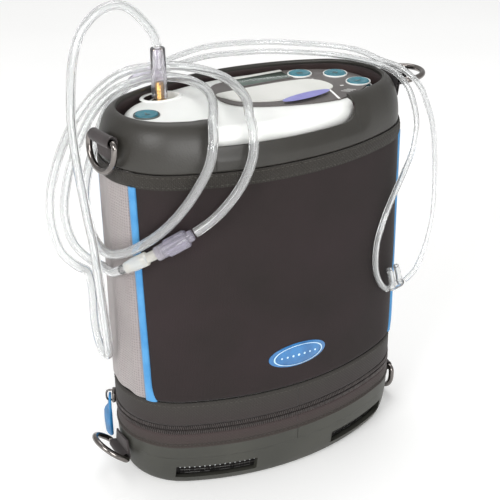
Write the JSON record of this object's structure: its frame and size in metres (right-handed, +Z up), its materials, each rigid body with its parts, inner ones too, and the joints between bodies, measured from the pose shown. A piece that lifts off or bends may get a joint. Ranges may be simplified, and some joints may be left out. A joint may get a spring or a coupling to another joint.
{
  "type": "portable oxygen concentrator",
  "caption": "Portable oxygen concentrator in a fitted oval carry bag with strap rings, a zip, vents and a control deck, with its nasal cannula plugged in.",
  "frame": {"origin": "centre of the flat underside of the bag's base, on the floor plane", "axes": "+Z up, front panel with the badge facing -Y, +X to the right seen from the front"},
  "size_m": [0.2648, 0.1339, 0.3174],
  "materials": {
    "neoprene": "fine knit face on foam, matte",
    "vinyl": "soft coated vinyl, low sheen",
    "webbing": "heavy twill band, matte",
    "spacer_mesh": "open knitted spacer mesh",
    "piping": "woven piping over a cord, satin",
    "base_rubber": "moulded, matte",
    "vent_metal": "woven screen, bright",
    "zip_teeth": "moulded coil teeth, satin",
    "slider_metal": "black lacquer",
    "pull_plastic": "moulded, satin",
    "ring_metal": "black nickel plate",
    "badge_enamel": "domed enamel",
    "housing_plastic": "moulded, fine satin texture",
    "overlay_film": "printed polyester film",
    "lcd_glass": "flat window",
    "button_plastic": "moulded silicone feel, satin",
    "brass": "turned",
    "clear_pvc": "clear soft vinyl tube",
    "swivel_plastic": "moulded, gloss",
    "circuit_board": "solder mask",
    "battery_case": "moulded",
    "cast_aluminium": "as cast and turned",
    "shaft_steel": "ground",
    "black_plastic": "moulded",
    "filter_felt": "pleated felt in a sleeve"
  },
  "bodies": {
    "bag_and_case": {"base_tray": "base_rubber", "vent_mesh": "vent_metal", "lower_band": "webbing", "zip_chain": "zip_teeth", "upper_band": "webbing", "side_mesh_right": "spacer_mesh", "side_mesh_left": "spacer_mesh", "front_panel": "neoprene", "back_panel": "neoprene", "piping_front_left": "piping", "piping_front_right": "piping", "piping_back_left": "piping", "piping_back_right": "piping", "rim_cap": "vinyl", "badge": "badge_enamel", "tab_upper_left": "vinyl", "tab_upper_right": "vinyl", "tab_lower_left": "vinyl", "tab_lower_right": "vinyl", "case_lower": "housing_plastic", "case_upper": "housing_plastic", "control_overlay": "overlay_film", "lcd_lens": "lcd_glass", "label_pad": "housing_plastic", "control_board": "circuit_board", "outlet_barb": "brass", "compressor_crankcase": "cast_aluminium", "compressor_motor": "black_plastic", "fan_frame": "black_plastic", "battery_pack": "battery_case", "sieve_bed_left": "cast_aluminium", "sieve_bed_right": "cast_aluminium", "product_tank": "black_plastic", "valve_manifold": "cast_aluminium", "main_board": "circuit_board", "intake_filter": "filter_felt", "outlet_hose": "clear_pvc", "outlet_cuff": "clear_pvc", "supply_tube": "clear_pvc", "extension_tube": "clear_pvc", "branch_tube_a": "clear_pvc", "branch_tube_b": "clear_pvc", "tube_socket": "clear_pvc", "tube_swivel": "swivel_plastic", "yoke": "clear_pvc", "nasal_piece": "clear_pvc"},
    "ring_upper_left": {"d_ring_upper_left": "ring_metal"},
    "ring_upper_right": {"d_ring_upper_right": "ring_metal"},
    "ring_lower_left": {"d_ring_lower_left": "ring_metal"},
    "ring_lower_right": {"d_ring_lower_right": "ring_metal"},
    "slider": {"zip_slider": "slider_metal"},
    "pull": {"zip_pull": "pull_plastic"},
    "power_key": {"power_button": "button_plastic"},
    "mode_key": {"mode_button": "button_plastic"},
    "increase_key": {"increase_button": "button_plastic"},
    "decrease_key": {"decrease_button": "button_plastic"},
    "fan": {"fan_impeller": "black_plastic"},
    "crank": {"crankshaft": "shaft_steel"},
    "left_piston": {"piston_left": "cast_aluminium"},
    "right_piston": {"piston_right": "cast_aluminium"}
  },
  "joints": [
    {"name": "upper_left_ring_swing", "type": "hinge", "parent": "bag_and_case", "child": "ring_upper_left", "pos_m": [-0.10807, -0.00801, 0.247], "axis": [-0.1564, 0.9877, 0], "range_deg": [-3, 150]},
    {"name": "upper_right_ring_swing", "type": "hinge", "parent": "bag_and_case", "child": "ring_upper_right", "pos_m": [0.10867, -0.00179, 0.25], "axis": [-0.0349, -0.9994, 0], "range_deg": [-88, 60]},
    {"name": "lower_left_ring_swing", "type": "hinge", "parent": "bag_and_case", "child": "ring_lower_left", "pos_m": [-0.10869, -0.00089, 0.016], "axis": [-0.0174, 0.9998, 0], "range_deg": [-75, 20]},
    {"name": "lower_right_ring_swing", "type": "hinge", "parent": "bag_and_case", "child": "ring_lower_right", "pos_m": [0.10863, -0.00268, 0.024], "axis": [-0.0523, -0.9986, 0], "range_deg": [0, 150]},
    {"name": "zip_travel", "type": "hinge", "parent": "bag_and_case", "child": "slider", "pos_m": [-0.0575, 0, 0.0466], "axis": [0, 0, 1], "range_deg": [-30, 4]},
    {"name": "zip_pull_swing", "type": "hinge", "parent": "slider", "child": "pull", "pos_m": [-0.10426, 0.02181, 0.0469], "axis": [0.4226, 0.9063, 0], "range_deg": [-4, 150]},
    {"name": "power_press", "type": "slide", "parent": "bag_and_case", "child": "power_key", "axis": [0, 0, -1], "range_m": [0, 0.0012], "stiffness_N_per_m": 400},
    {"name": "mode_press", "type": "slide", "parent": "bag_and_case", "child": "mode_key", "axis": [0, 0, -1], "range_m": [0, 0.0012], "stiffness_N_per_m": 400},
    {"name": "increase_press", "type": "slide", "parent": "bag_and_case", "child": "increase_key", "axis": [0, 0, -1], "range_m": [0, 0.0012], "stiffness_N_per_m": 400},
    {"name": "decrease_press", "type": "slide", "parent": "bag_and_case", "child": "decrease_key", "axis": [0, 0, -1], "range_m": [0, 0.0012], "stiffness_N_per_m": 400},
    {"name": "fan_spin", "type": "hinge", "parent": "bag_and_case", "child": "fan", "pos_m": [-0.058, -0.002, 0.04], "axis": [1, 0, 0], "continuous": true},
    {"name": "crank_spin", "type": "hinge", "parent": "bag_and_case", "child": "crank", "pos_m": [0, -0.013, 0.032], "axis": [1, 0, 0], "continuous": true},
    {"name": "piston_left_stroke", "type": "slide", "parent": "bag_and_case", "child": "left_piston", "axis": [0, 0, 1], "range_m": [-0.008, 0]},
    {"name": "piston_right_stroke", "type": "slide", "parent": "bag_and_case", "child": "right_piston", "axis": [0, 0, 1], "range_m": [0, 0.008]}
  ]
}
